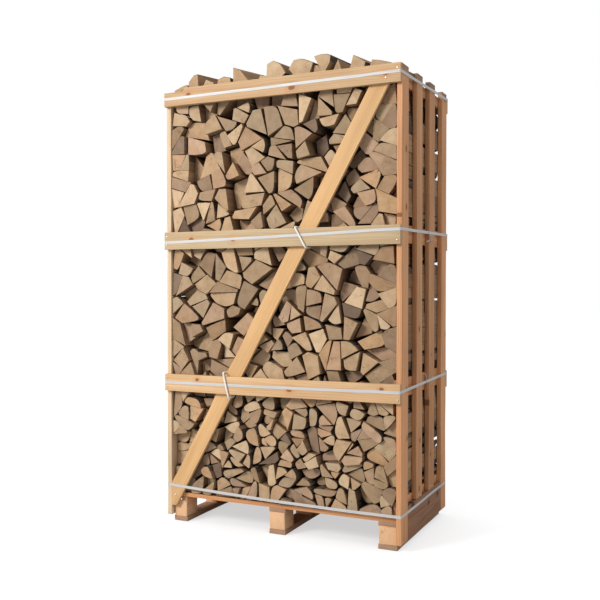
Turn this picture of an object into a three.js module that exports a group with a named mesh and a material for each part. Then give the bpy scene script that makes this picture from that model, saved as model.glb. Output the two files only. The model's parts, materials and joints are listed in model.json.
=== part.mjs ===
// A tall timber crate on a block pallet, filled with split firewood stacked end-on.
// Millimetres. The front faces -Y, the right side faces +X, +Z is up, and the floor is z = 0.
// The origin lies on the floor, under the middle of the pallet.
import * as THREE from "three";

// ---- driving dimensions -------------------------------------------------------------------

const seam = 0.3; // clearance between boards that are nailed together

const crate = {
  halfWidth: 576, // to the outer faces of the side boards
  halfDepth: 360, // to the outer faces of the front and back rails
};

const board = {
  railThickness: 20,
  sideThickness: 22,
  sideRailThickness: 19,
  braceThickness: 19,
};

// Front rails run across the crate. Each is a little out of level, like hand-nailed boards.
const railWidth = 80;
const frontRails = [
  { name: "rail_lower", leftCentre: 655, rightCentre: 662, waneLength: 0, waneDepth: 0 },
  { name: "rail_upper", leftCentre: 1316, rightCentre: 1320, waneLength: 0, waneDepth: 0 },
  { name: "rail_top", leftCentre: 1979, rightCentre: 1981, waneLength: 104, waneDepth: 16 },
];

// The brace leans from the bottom left corner to the top right corner of each face.
const brace = {
  width: 74,
  footZ: 76,
  headZ: 2005,
  centreXAtFootRef: -514,
  footRefZ: 177,
  runPerRise: 0.561,
};

// Upright boards of one side, as spans along the depth and the height of each foot.
// Their heads were sawn by eye, so the two sides differ a little.
const uprights = [
  { name: "corner_post_front", from: -339.7, to: -250, foot: 30, headLeft: 2000, headRight: 2023 },
  { name: "slat_front", from: -130, to: -50, foot: 176, headLeft: 1996, headRight: 2027 },
  { name: "slat_rear", from: 58, to: 142, foot: 174, headLeft: 2001, headRight: 2030 },
  { name: "corner_post_rear", from: 262, to: 339.7, foot: 32, headLeft: 2004, headRight: 2028 },
];

// Boards that run front to back, inside the uprights.
const sideRails = [
  { name: "side_rail_base", bottom: 136, top: 204 },
  { name: "side_rail_lower", bottom: 634, top: 714 },
  { name: "side_rail_upper", bottom: 1291, top: 1367 },
  { name: "side_rail_top", bottom: 1954, top: 2004 },
];

const lowSideBoard = { from: -249, to: 261, bottom: 33, top: 173 };

const pallet = {
  halfLength: 553.4,
  halfDepth: 318,
  skidThickness: 22,
  blockHeight: 76,
  bearerThickness: 18,
  deckThickness: 18,
  deckGap: 22,
  deckBoardCount: 5,
  skidOverhang: 3,
};

// The three runners, as spans along the width. Rough-sawn blocks differ a little.
const runners = [
  { name: "left", from: -549, to: -484 },
  { name: "middle", from: -46, to: 28 },
  { name: "right", from: 470, to: 549 },
];

const blockRows = [
  { name: "front", from: -318, to: -226 },
  { name: "centre", from: -46, to: 46 },
  { name: "back", from: 226, to: 318 },
];

// Flat plastic straps, each a closed band. Heights are at its front left, front right,
// back right and back left corners.
const strap = { width: 16, thickness: 1.2, clearance: 0.4 };
const straps = [
  { name: "strap_top", halfDepth: 360, heights: [1974, 1985, 2006, 1988] },
  { name: "strap_upper", halfDepth: 360, heights: [1308, 1342, 1352, 1322] },
  { name: "strap_lower", halfDepth: 360, heights: [656, 669, 683, 664] },
  { name: "strap_bottom", halfDepth: 339.7, heights: [173, 150, 153, 165] },
];

// Twine loops that hold the brace to the two middle rails of the front face.
const tie = { thickness: 2.6, clearance: 2, spareLength: 4 };
const ties = [
  { name: "brace_tie_upper", centreX: 126, centreZ: 1318, leanX: 50, leanZ: -84 },
  { name: "brace_tie_lower", centreX: -244, centreZ: 659, leanX: 22, leanZ: -81 },
];

// The two rows of logs. Each row is held as four stacked solids.
const stack = {
  halfWidth: 531,
  frontFace: 315.5,
  rowGap: 6,
  tierGap: 0.6,
  sideWave: 9,
};
const tiers = [
  { name: "lower", bottom: 135.5, top: 738, courses: 9 },
  { name: "middle", bottom: 738, top: 1342, courses: 6 },
  { name: "upper", bottom: 1342, top: 1941, courses: 6 },
];

// Crest of the loose heap above the top rail, as x and height, left to right.
const heapCrest = {
  front: [
    [-529, 2030], [-505, 2058], [-470, 2064], [-446, 2098], [-418, 2092], [-384, 2066],
    [-342, 2072], [-300, 2062], [-252, 2100], [-214, 2094], [-178, 2066], [-128, 2074],
    [-66, 2084], [-20, 2108], [34, 2112], [88, 2104], [132, 2082], [178, 2100],
    [216, 2112], [262, 2102], [296, 2078], [338, 2092], [384, 2086], [430, 2062],
    [478, 2056], [516, 2050], [529, 2038],
  ],
  back: [
    [-529, 2020], [-500, 2050], [-452, 2056], [-410, 2084], [-362, 2078], [-322, 2052],
    [-270, 2064], [-224, 2096], [-176, 2088], [-130, 2062], [-84, 2076], [-36, 2102],
    [18, 2096], [66, 2070], [118, 2084], [170, 2106], [222, 2098], [268, 2068],
    [318, 2062], [366, 2080], [414, 2074], [458, 2060], [500, 2056], [529, 2040],
  ],
};

// ---- materials ----------------------------------------------------------------------------

function wood(name, colour, roughness) {
  const material = new THREE.MeshStandardMaterial({ color: colour, roughness, metalness: 0 });
  material.name = name;
  return material;
}

const finishes = {
  pine: () => wood("pine_board", 0xd9a870, 0.72),
  pineSide: () => wood("pine_side_board", 0xc4946a, 0.74),
  darkBoard: () => wood("weathered_board", 0x6f5240, 0.8),
  block: () => wood("pallet_block", 0xcfa983, 0.78),
  logs: () => wood("split_logs", 0xb79f7f, 0.86),
  strap: () => wood("strapping_plastic", 0xe9e7e0, 0.35),
  twine: () => wood("white_twine", 0xe6e3dc, 0.7),
};

// ---- shape helpers ------------------------------------------------------------------------

function namedMesh(name, geometry, finish) {
  const mesh = new THREE.Mesh(geometry, finish());
  mesh.name = name;
  return mesh;
}

// A box between two corners.
function boxBetween(low, high) {
  const size = high.map((value, axis) => value - low[axis]);
  const geometry = new THREE.BoxGeometry(...size);
  geometry.translate(...high.map((value, axis) => (value + low[axis]) / 2));
  return geometry;
}

// A board cut to an outline in the x-z plane, filling y from nearY to farY.
function boardFromOutline(outline, nearY, farY) {
  const shape = new THREE.Shape(outline.map(([x, z]) => new THREE.Vector2(x, z)));
  const geometry = new THREE.ExtrudeGeometry(shape, {
    depth: farY - nearY,
    bevelEnabled: false,
    steps: 1,
  });
  // The outline stands up, and the thickness then runs from farY back to nearY.
  geometry.rotateX(Math.PI / 2);
  geometry.translate(0, farY, 0);
  return geometry;
}

// ---- front and back faces -----------------------------------------------------------------

function railOutline(rail) {
  const half = railWidth / 2;
  const x = crate.halfWidth;
  const outline = [
    [-x, rail.leftCentre - half],
    [x, rail.rightCentre - half],
    [x, rail.rightCentre + half],
  ];
  const leftTop = rail.leftCentre + half;
  if (rail.waneLength > 0) {
    const stepRun = 7;
    outline.push([-x + rail.waneLength + stepRun, leftTop]);
    outline.push([-x + rail.waneLength, leftTop - rail.waneDepth]);
    outline.push([-x, leftTop - rail.waneDepth]);
  } else {
    outline.push([-x, leftTop]);
  }
  return outline;
}

function braceCentreX(z) {
  return brace.centreXAtFootRef + (z - brace.footRefZ) * brace.runPerRise;
}

// A parallel-sided board, its corners sawn off upright where they would meet the corner posts.
function braceOutline() {
  const lean = Math.atan(brace.runPerRise);
  const halfAcross = brace.width / 2 / Math.cos(lean);
  const limitX = crate.halfWidth - board.sideThickness - seam * 2;
  const cornerZ = brace.footRefZ + (-limitX + halfAcross - brace.centreXAtFootRef) / brace.runPerRise;
  return [
    [-limitX, brace.footZ],
    [braceCentreX(brace.footZ) + halfAcross, brace.footZ],
    [Math.min(limitX, braceCentreX(brace.headZ) + halfAcross), brace.headZ],
    [braceCentreX(brace.headZ) - halfAcross, brace.headZ],
    [-limitX, cornerZ],
  ];
}

// The back face is the front face turned half round.
function faceBoards(side, turned) {
  const outerY = -crate.halfDepth;
  const innerY = outerY + board.railThickness;
  const meshes = frontRails.map((rail) => {
    const geometry = boardFromOutline(railOutline(rail), outerY, innerY);
    return namedMesh(`${side}_${rail.name}`, geometry, finishes.pine);
  });
  const braceNear = innerY + seam;
  const braceBoard = boardFromOutline(braceOutline(), braceNear, braceNear + board.braceThickness);
  meshes.push(namedMesh(`${side}_brace`, braceBoard, finishes.pine));
  if (turned) {
    meshes.forEach((mesh) => mesh.geometry.rotateZ(Math.PI));
  }
  return meshes;
}

// ---- left and right sides -----------------------------------------------------------------

function uprightBoards(side, sign) {
  const outer = crate.halfWidth;
  const inner = outer - board.sideThickness;
  return uprights.map((upright) => {
    const nearX = sign > 0 ? inner : -outer;
    const farX = sign > 0 ? outer : -inner;
    const head = sign > 0 ? upright.headRight : upright.headLeft;
    const geometry = boxBetween([nearX, upright.from, upright.foot], [farX, upright.to, head]);
    return namedMesh(`${side}_${upright.name}`, geometry, finishes.pineSide);
  });
}

function innerSideRails(side, sign) {
  const outer = crate.halfWidth - board.sideThickness - seam;
  const inner = outer - board.sideRailThickness;
  const halfRun = crate.halfDepth - board.railThickness - board.braceThickness - 2;
  return sideRails.map((rail) => {
    const nearX = sign > 0 ? inner : -outer;
    const farX = sign > 0 ? outer : -inner;
    const geometry = boxBetween([nearX, -halfRun, rail.bottom], [farX, halfRun, rail.top]);
    return namedMesh(`${side}_${rail.name}`, geometry, finishes.pineSide);
  });
}

function lowBoard() {
  const outer = crate.halfWidth;
  const inner = outer - board.sideThickness;
  const geometry = boxBetween(
    [inner, lowSideBoard.from, lowSideBoard.bottom],
    [outer, lowSideBoard.to, lowSideBoard.top],
  );
  return namedMesh("right_low_board", geometry, finishes.darkBoard);
}

// ---- pallet -------------------------------------------------------------------------------

const palletLevels = (() => {
  const blockBottom = pallet.skidThickness + seam;
  const bearerBottom = blockBottom + pallet.blockHeight + seam;
  const deckBottom = bearerBottom + pallet.bearerThickness + seam;
  return { blockBottom, bearerBottom, deckBottom };
})();

function runnerMeshes(runner) {
  const { blockBottom, bearerBottom } = palletLevels;
  const half = pallet.halfDepth;
  const over = pallet.skidOverhang;
  const skid = boxBetween(
    [runner.from - over, -half, 0],
    [runner.to + over, half, pallet.skidThickness],
  );
  const bearer = boxBetween(
    [runner.from - over, -half, bearerBottom],
    [runner.to + over, half, bearerBottom + pallet.bearerThickness],
  );
  const meshes = [
    namedMesh(`pallet_skid_${runner.name}`, skid, finishes.darkBoard),
    namedMesh(`pallet_bearer_${runner.name}`, bearer, finishes.pine),
  ];
  for (const row of blockRows) {
    const block = boxBetween(
      [runner.from, row.from, blockBottom],
      [runner.to, row.to, blockBottom + pallet.blockHeight],
    );
    meshes.push(namedMesh(`pallet_block_${runner.name}_${row.name}`, block, finishes.block));
  }
  return meshes;
}

function deckMeshes() {
  const count = pallet.deckBoardCount;
  const fullDepth = pallet.halfDepth * 2;
  const width = (fullDepth - pallet.deckGap * (count - 1)) / count;
  const bottom = palletLevels.deckBottom;
  const meshes = [];
  for (let index = 0; index < count; index += 1) {
    const from = -pallet.halfDepth + index * (width + pallet.deckGap);
    const geometry = boxBetween(
      [-pallet.halfLength, from, bottom],
      [pallet.halfLength, from + width, bottom + pallet.deckThickness],
    );
    meshes.push(namedMesh(`pallet_deck_board_${index + 1}`, geometry, finishes.pine));
  }
  return meshes;
}

// ---- straps and ties ----------------------------------------------------------------------

// A closed four-cornered band, with its height set at each corner.
function strapGeometry(band) {
  const innerX = crate.halfWidth + strap.clearance;
  const innerY = band.halfDepth + strap.clearance;
  const [frontLeft, frontRight, backRight, backLeft] = band.heights;
  const corners = [
    { x: -1, y: -1, z: frontLeft },
    { x: 1, y: -1, z: frontRight },
    { x: 1, y: 1, z: backRight },
    { x: -1, y: 1, z: backLeft },
  ];
  const positions = [];
  for (const corner of corners) {
    for (const grow of [0, strap.thickness]) {
      for (const rise of [-strap.width / 2, strap.width / 2]) {
        positions.push(corner.x * (innerX + grow), corner.y * (innerY + grow), corner.z + rise);
      }
    }
  }
  // Each corner holds inner low, inner high, outer low and outer high, in that order.
  const [innerLow, innerHigh, outerLow, outerHigh] = [0, 1, 2, 3];
  const indices = [];
  const addQuad = (a, b, c, d) => indices.push(a, b, c, a, c, d);
  corners.forEach((corner, here) => {
    const now = here * 4;
    const next = ((here + 1) % corners.length) * 4;
    addQuad(now + outerLow, next + outerLow, next + outerHigh, now + outerHigh);
    addQuad(next + innerLow, now + innerLow, now + innerHigh, next + innerHigh);
    addQuad(now + outerHigh, next + outerHigh, next + innerHigh, now + innerHigh);
    addQuad(now + innerLow, next + innerLow, next + outerLow, now + outerLow);
  });
  const geometry = new THREE.BufferGeometry();
  geometry.setAttribute("position", new THREE.Float32BufferAttribute(positions, 3));
  geometry.setIndex(indices);
  geometry.computeVertexNormals();
  return geometry;
}

// A rectangle with corners at plus and minus the half sizes.
function rectanglePoints(halfLong, low, high) {
  return [
    new THREE.Vector2(-halfLong, low),
    new THREE.Vector2(halfLong, low),
    new THREE.Vector2(halfLong, high),
    new THREE.Vector2(-halfLong, high),
  ];
}

// A loop that passes in front of the rail and behind the brace, leaning across the rail.
function tieGeometry(loop) {
  const length = Math.hypot(loop.leanX, loop.leanZ);
  const acrossRail = railWidth / (Math.abs(loop.leanZ) / length);
  const braceLength = Math.hypot(brace.runPerRise, 1);
  const crossing = Math.abs(loop.leanX - brace.runPerRise * loop.leanZ) / (length * braceLength);
  const acrossBrace = brace.width / crossing;
  const innerHalf = Math.max(acrossRail, acrossBrace) / 2 + tie.spareLength;
  const nearY = -crate.halfDepth - tie.clearance;
  const farY = -crate.halfDepth + board.railThickness + seam + board.braceThickness + tie.clearance;
  const outerHalf = innerHalf + tie.thickness;
  const outer = rectanglePoints(outerHalf, nearY - tie.thickness, farY + tie.thickness);
  const ring = new THREE.Shape(outer);
  ring.holes.push(new THREE.Path(rectanglePoints(innerHalf, nearY, farY)));
  const geometry = new THREE.ExtrudeGeometry(ring, {
    depth: tie.thickness,
    bevelEnabled: false,
    steps: 1,
  });
  // The shape's own x follows the lean, its y stays the depth, and its thickness goes sideways.
  geometry.translate(0, 0, -tie.thickness / 2);
  geometry.rotateY(Math.atan2(-loop.leanZ, loop.leanX));
  geometry.translate(loop.centreX, 0, loop.centreZ);
  return geometry;
}

// ---- log stack ----------------------------------------------------------------------------

// One tier of a row: straight top and bottom, sides that bulge a little at each course.
function tierOutline(tier, phase) {
  const bottom = tier.bottom + stack.tierGap / 2;
  const top = tier.top - stack.tierGap / 2;
  const course = (top - bottom) / tier.courses;
  const right = [];
  const left = [];
  for (let index = 0; index <= tier.courses; index += 1) {
    const z = bottom + index * course;
    const waveRight = stack.sideWave * Math.sin(phase + index * 2.1);
    const waveLeft = stack.sideWave * Math.sin(phase + 1.3 + index * 1.7);
    right.push([stack.halfWidth - stack.sideWave + waveRight, z]);
    left.push([-stack.halfWidth + stack.sideWave + waveLeft, z]);
  }
  return [...right, ...left.reverse()];
}

function heapOutline(crest) {
  const bottom = tiers[tiers.length - 1].top + stack.tierGap / 2;
  const first = crest[0];
  const last = crest[crest.length - 1];
  return [[first[0], bottom], [last[0], bottom], ...[...crest].reverse()];
}

function rowMeshes(row, nearY, farY, phase) {
  const meshes = tiers.map((tier, index) => {
    const geometry = boardFromOutline(tierOutline(tier, phase + index), nearY, farY);
    return namedMesh(`logs_${row}_${tier.name}`, geometry, finishes.logs);
  });
  const heap = boardFromOutline(heapOutline(heapCrest[row]), nearY, farY);
  meshes.push(namedMesh(`logs_${row}_heap`, heap, finishes.logs));
  return meshes;
}

// ---- assembly -----------------------------------------------------------------------------

function buildCrate() {
  const group = new THREE.Group();
  group.name = "firewood_crate";
  const halfGap = stack.rowGap / 2;
  const parts = [
    ...faceBoards("front", false),
    ...faceBoards("back", true),
    ...uprightBoards("right", 1),
    ...uprightBoards("left", -1),
    ...innerSideRails("right", 1),
    ...innerSideRails("left", -1),
    lowBoard(),
    ...runners.flatMap(runnerMeshes),
    ...deckMeshes(),
    ...straps.map((band) => namedMesh(band.name, strapGeometry(band), finishes.strap)),
    ...ties.map((loop) => namedMesh(loop.name, tieGeometry(loop), finishes.twine)),
    ...rowMeshes("front", -stack.frontFace, -halfGap, 0.4),
    ...rowMeshes("back", halfGap, stack.frontFace, 1.9),
  ];
  group.add(...parts);
  return group;
}

export default buildCrate();
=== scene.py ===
import json
import math
import random

import bmesh
import bpy
import numpy as np
from mathutils import Matrix, Vector, noise


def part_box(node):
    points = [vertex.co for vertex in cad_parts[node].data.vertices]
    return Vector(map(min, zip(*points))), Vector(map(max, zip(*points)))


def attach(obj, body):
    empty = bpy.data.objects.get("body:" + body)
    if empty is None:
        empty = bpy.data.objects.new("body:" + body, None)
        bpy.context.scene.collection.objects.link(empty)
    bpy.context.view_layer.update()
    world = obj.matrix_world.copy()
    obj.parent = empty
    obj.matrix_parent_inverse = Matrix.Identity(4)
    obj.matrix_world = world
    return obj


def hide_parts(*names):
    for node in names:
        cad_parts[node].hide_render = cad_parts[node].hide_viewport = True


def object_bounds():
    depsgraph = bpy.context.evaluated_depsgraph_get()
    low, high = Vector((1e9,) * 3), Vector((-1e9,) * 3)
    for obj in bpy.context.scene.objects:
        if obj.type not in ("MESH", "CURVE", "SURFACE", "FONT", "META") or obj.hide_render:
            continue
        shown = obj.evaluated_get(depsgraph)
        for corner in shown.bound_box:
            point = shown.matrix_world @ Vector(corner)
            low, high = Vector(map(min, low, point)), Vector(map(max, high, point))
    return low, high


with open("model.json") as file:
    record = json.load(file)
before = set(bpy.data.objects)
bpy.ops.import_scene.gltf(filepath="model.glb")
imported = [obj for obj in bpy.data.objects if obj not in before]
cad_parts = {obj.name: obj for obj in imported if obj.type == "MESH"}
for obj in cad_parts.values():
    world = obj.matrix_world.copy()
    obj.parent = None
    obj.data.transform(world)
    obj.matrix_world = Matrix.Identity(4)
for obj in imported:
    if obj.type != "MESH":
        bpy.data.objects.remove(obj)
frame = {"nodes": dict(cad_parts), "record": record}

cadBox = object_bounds()
scene = bpy.context.scene
slotOfNode = {part["node"]: part["material_slot"] for part in frame["record"]["subparts"]}
print("frame loaded,", len(frame["nodes"]), "nodes")


# ---------- camera, floor and light ----------

stage = {
    "camera": (1.6615, -3.6241, 1.1145),
    "turn": 25.23,        # degrees round Z from looking straight at the front
    "tilt": -1.08,        # degrees, below the horizon
    "lens": 50.1,
    "skyStrength": 0.52,
    "keyPower": 372,
    "keyAt": (-2.9, -4.9, 3.7),
    "keySize": (1.9, 1.7),
    "fillPower": 52,
    "fillAt": (4.6, -1.2, 2.6),
    "floorColour": (0.57, 0.583, 0.60, 1),
    "floorSeen": (0.30, 0.303, 0.308, 1),  # the camera sees less of it, so the shadow stays soft
    "floorGlow": 0.87,    # keeps the floor pale
    "paintedContactShadow": 0.36,  # painted contact shadow: how much of that glow the pallet takes away close by
    "paintedShadowReach": 0.9,
}


def aim(thing, target):
    thing.rotation_mode = "QUATERNION"
    thing.rotation_quaternion = (Vector(target) - thing.location).to_track_quat("-Z", "Y")


def makeStage():
    cam = bpy.data.objects.new("camera", bpy.data.cameras.new("camera"))
    scene.collection.objects.link(cam)
    cam.location = stage["camera"]
    cam.rotation_euler = (math.radians(90 + stage["tilt"]), 0, math.radians(stage["turn"]))
    cam.data.lens = stage["lens"]
    cam.data.sensor_width = 36
    cam.data.clip_end = 200
    scene.camera = cam

    for name, at, power, size in (
        ("keyLight", stage["keyAt"], stage["keyPower"], stage["keySize"]),
        ("fillLight", stage["fillAt"], stage["fillPower"], (3.0, 3.0)),
    ):
        lamp = bpy.data.lights.new(name, "AREA")
        lamp.shape = "RECTANGLE"
        lamp.size, lamp.size_y = size
        lamp.energy = power
        lamp.color = (1.0, 0.985, 0.965)
        lampObject = bpy.data.objects.new(name, lamp)
        scene.collection.objects.link(lampObject)
        lampObject.location = at
        aim(lampObject, (0, 0, 1.0))

    world = bpy.data.worlds.new("softSky")
    scene.world = world
    world.use_nodes = True
    tree = world.node_tree
    tree.nodes.clear()
    sky = tree.nodes.new("ShaderNodeBackground")
    sky.inputs["Color"].default_value = (0.97, 0.985, 1.0, 1)
    sky.inputs["Strength"].default_value = stage["skyStrength"]
    plain = tree.nodes.new("ShaderNodeBackground")
    plain.inputs["Color"].default_value = (1, 1, 1, 1)
    plain.inputs["Strength"].default_value = 1.0
    path = tree.nodes.new("ShaderNodeLightPath")
    mix = tree.nodes.new("ShaderNodeMixShader")
    out = tree.nodes.new("ShaderNodeOutputWorld")
    tree.links.new(path.outputs["Is Camera Ray"], mix.inputs[0])
    tree.links.new(sky.outputs[0], mix.inputs[1])
    tree.links.new(plain.outputs[0], mix.inputs[2])
    tree.links.new(mix.outputs[0], out.inputs[0])

    floorMesh = bpy.data.meshes.new("floor")
    reach = 30.0
    floorMesh.from_pydata(
        [(-reach, -reach, 0), (reach, -reach, 0), (reach, reach, 0), (-reach, reach, 0)], [], [(0, 1, 2, 3)]
    )
    floor = bpy.data.objects.new("floor", floorMesh)
    scene.collection.objects.link(floor)
    floor.location.z = cadBox[0].z - 0.0005
    material = bpy.data.materials.new("paleFloor")
    material.use_nodes = True
    shader = material.node_tree.nodes["Principled BSDF"]
    shader.inputs["Roughness"].default_value = 0.7
    shader.inputs["Emission Color"].default_value = (1, 1, 1, 1)
    seen = material.node_tree.nodes.new("ShaderNodeLightPath")
    paint = material.node_tree.nodes.new("ShaderNodeMix")
    paint.data_type = "RGBA"
    paint.inputs["A"].default_value = stage["floorColour"]
    paint.inputs["B"].default_value = stage["floorSeen"]
    material.node_tree.links.new(seen.outputs["Is Camera Ray"], paint.inputs["Factor"])
    material.node_tree.links.new(paint.outputs["Result"], shader.inputs["Base Color"])
    # painted contact shadow: ambient occlusion dims the camera-seen floor glow close to the pallet
    paintedShadowOcclusion = material.node_tree.nodes.new("ShaderNodeAmbientOcclusion")
    paintedShadowOcclusion.inputs["Distance"].default_value = stage["paintedShadowReach"]
    shade = material.node_tree.nodes.new("ShaderNodeMapRange")
    shade.inputs["To Min"].default_value = stage["floorGlow"] * (1 - stage["paintedContactShadow"])
    shade.inputs["To Max"].default_value = stage["floorGlow"]
    glow = material.node_tree.nodes.new("ShaderNodeMath")
    glow.operation = "MULTIPLY"
    material.node_tree.links.new(paintedShadowOcclusion.outputs["AO"], shade.inputs["Value"])
    material.node_tree.links.new(seen.outputs["Is Camera Ray"], glow.inputs[0])
    material.node_tree.links.new(shade.outputs["Result"], glow.inputs[1])
    material.node_tree.links.new(glow.outputs[0], shader.inputs["Emission Strength"])
    floorMesh.materials.append(material)

    scene.view_settings.view_transform = "Standard"
    scene.view_settings.look = "None"
    scene.cycles.max_bounces = 8
    scene.cycles.diffuse_bounces = 4
    print("stage ready")


makeStage()


# ---------- shader groups ----------

def addNode(tree, kind, feeds=None, **settings):
    node = tree.nodes.new(kind)
    for key, value in settings.items():
        setattr(node, key, value)
    for key, value in (feeds or {}).items():
        socket = node.inputs[key]
        if isinstance(value, bpy.types.NodeSocket):
            tree.links.new(value, socket)
        else:
            socket.default_value = value
    return node


def calc(tree, operation, first, second=None, third=None, clamp=False):
    feeds = {0: first}
    if second is not None:
        feeds[1] = second
    if third is not None:
        feeds[2] = third
    return addNode(tree, "ShaderNodeMath", feeds, operation=operation, use_clamp=clamp).outputs[0]


def vecCalc(tree, operation, first, second=None, out=0):
    feeds = {0: first}
    if second is not None:
        feeds[1] = second
    return addNode(tree, "ShaderNodeVectorMath", feeds, operation=operation).outputs[out]


def spread(tree, value, low, high, toLow=0.0, toHigh=1.0, smooth=False):
    node = addNode(
        tree,
        "ShaderNodeMapRange",
        {"Value": value, "From Min": low, "From Max": high, "To Min": toLow, "To Max": toHigh},
    )
    if smooth:
        node.interpolation_type = "SMOOTHSTEP"
    return node.outputs[0]


def noiseAt(tree, place, stretch, scale=1.0, detail=3.0, rough=0.55, seed=None):
    at = vecCalc(tree, "MULTIPLY", place, stretch)
    feeds = {"Vector": at, "Scale": scale, "Detail": detail, "Roughness": rough}
    node = addNode(tree, "ShaderNodeTexNoise", noise_dimensions="4D")
    for key, value in feeds.items():
        if isinstance(value, bpy.types.NodeSocket):
            tree.links.new(value, node.inputs[key])
        else:
            node.inputs[key].default_value = value
    if seed is not None:
        tree.links.new(seed, node.inputs["W"])
    return node.outputs["Fac"]


def mixColour(tree, amount, first, second, blend="MIX"):
    node = addNode(tree, "ShaderNodeMix", data_type="RGBA", blend_type=blend)
    for index, value in ((0, amount), (6, first), (7, second)):
        if isinstance(value, bpy.types.NodeSocket):
            tree.links.new(value, node.inputs[index])
        else:
            node.inputs[index].default_value = value
    return node.outputs[2]


def startGroup(name, inputs, outputs):
    group = bpy.data.node_groups.new(name, "ShaderNodeTree")
    for label, kind, value in inputs:
        socket = group.interface.new_socket(label, in_out="INPUT", socket_type=kind)
        if value is not None:
            socket.default_value = value
    for label, kind in outputs:
        group.interface.new_socket(label, in_out="OUTPUT", socket_type=kind)
    return group, group.nodes.new("NodeGroupInput").outputs, group.nodes.new("NodeGroupOutput").inputs


# long streaks, growth rings and fine fibres of sawn or split wood; Place runs along, across, through
def makeWoodFigure():
    tree, given, out = startGroup(
        "woodFigure",
        [
            ("Place", "NodeSocketVector", None),
            ("Ring Width", "NodeSocketFloat", 0.006),
            ("Wander", "NodeSocketFloat", 0.02),
            ("Seed", "NodeSocketFloat", 0.0),
            ("Pull", "NodeSocketFloat", 0.0),
        ],
        [("Rings", "NodeSocketFloat"), ("Streak", "NodeSocketFloat"), ("Fibre", "NodeSocketFloat")],
    )
    place, seed = given["Place"], given["Seed"]
    warp = noiseAt(tree, place, (1.6, 9.0, 9.0), detail=2.0, seed=seed)
    warp = calc(tree, "MULTIPLY", calc(tree, "SUBTRACT", warp, 0.5), given["Wander"])
    parts = addNode(tree, "ShaderNodeSeparateXYZ", {0: place})
    across = calc(tree, "ADD", parts.outputs[1], given["Pull"])
    heart = calc(tree, "SUBTRACT", seed, calc(tree, "FLOOR", seed))
    across = calc(tree, "SUBTRACT", across, spread(tree, heart, 0, 1, -0.03, 0.03))
    through = calc(tree, "ADD", parts.outputs[2], 0.035)
    radius = calc(
        tree, "SQRT",
        calc(tree, "ADD", calc(tree, "MULTIPLY", across, across), calc(tree, "MULTIPLY", through, through))
    )
    radius = calc(tree, "ADD", radius, warp)
    turns = calc(tree, "DIVIDE", calc(tree, "MULTIPLY", radius, math.tau), given["Ring Width"])
    wave = spread(tree, calc(tree, "SINE", turns), -1, 1)
    tree.links.new(calc(tree, "POWER", wave, 2.2), out["Rings"])
    bent = addNode(
        tree, "ShaderNodeCombineXYZ", {0: parts.outputs[0], 1: across, 2: parts.outputs[2]}
    ).outputs[0]
    streak = noiseAt(tree, bent, (1.1, 34.0, 34.0), detail=4.0, rough=0.6, seed=seed)
    tree.links.new(spread(tree, streak, 0.3, 0.7), out["Streak"])
    tree.links.new(noiseAt(tree, bent, (16.0, 420.0, 420.0), detail=3.0, seed=seed), out["Fibre"])
    return tree


# round or oval knots scattered over a board
def makeKnots():
    tree, given, out = startGroup(
        "knots",
        [
            ("Place", "NodeSocketVector", None),
            ("Seed", "NodeSocketFloat", 0.0),
            ("Share", "NodeSocketFloat", 0.5),
            ("Size", "NodeSocketFloat", 0.011),
        ],
        [("Core", "NodeSocketFloat"), ("Halo", "NodeSocketFloat"), ("Pull", "NodeSocketFloat")],
    )
    cells = (4.2, 11.0, 0.0)
    shift = addNode(tree, "ShaderNodeCombineXYZ", {0: given["Seed"], 1: given["Seed"], 2: 0.0}).outputs[0]
    wobble = noiseAt(tree, given["Place"], (40.0, 60.0, 60.0), detail=2.0)
    wobble = calc(tree, "MULTIPLY", calc(tree, "SUBTRACT", wobble, 0.5), 0.006)
    at = vecCalc(tree, "ADD", vecCalc(tree, "MULTIPLY", given["Place"], cells), shift)
    field = addNode(
        tree, "ShaderNodeTexVoronoi", {"Vector": at, "Scale": 1.0, "Randomness": 0.75},
        voronoi_dimensions="2D"
    )
    away = vecCalc(tree, "DIVIDE", vecCalc(tree, "SUBTRACT", at, field.outputs["Position"]), (4.2, 11.0, 1.0))
    oval = vecCalc(tree, "MULTIPLY", away, (0.8, 1.15, 0.0))
    distance = calc(tree, "ADD", vecCalc(tree, "LENGTH", oval, out=1), wobble)
    luck = addNode(tree, "ShaderNodeSeparateColor", {0: field.outputs["Color"]})
    there = calc(tree, "LESS_THAN", luck.outputs[0], given["Share"])
    size = calc(tree, "MULTIPLY", given["Size"], spread(tree, luck.outputs[1], 0, 1, 0.55, 1.35))
    ratio = calc(tree, "DIVIDE", distance, size)
    core = calc(tree, "MULTIPLY", spread(tree, ratio, 1.1, 0.8, smooth=True), there)
    halo = calc(tree, "MULTIPLY", spread(tree, ratio, 3.2, 0.7, smooth=True), there)
    side = calc(tree, "SIGN", addNode(tree, "ShaderNodeSeparateXYZ", {0: away}).outputs[1])
    pull = calc(tree, "MULTIPLY", calc(tree, "MULTIPLY", halo, side), calc(tree, "MULTIPLY", size, -0.5))
    tree.links.new(core, out["Core"])
    tree.links.new(halo, out["Halo"])
    tree.links.new(pull, out["Pull"])
    return tree


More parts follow.
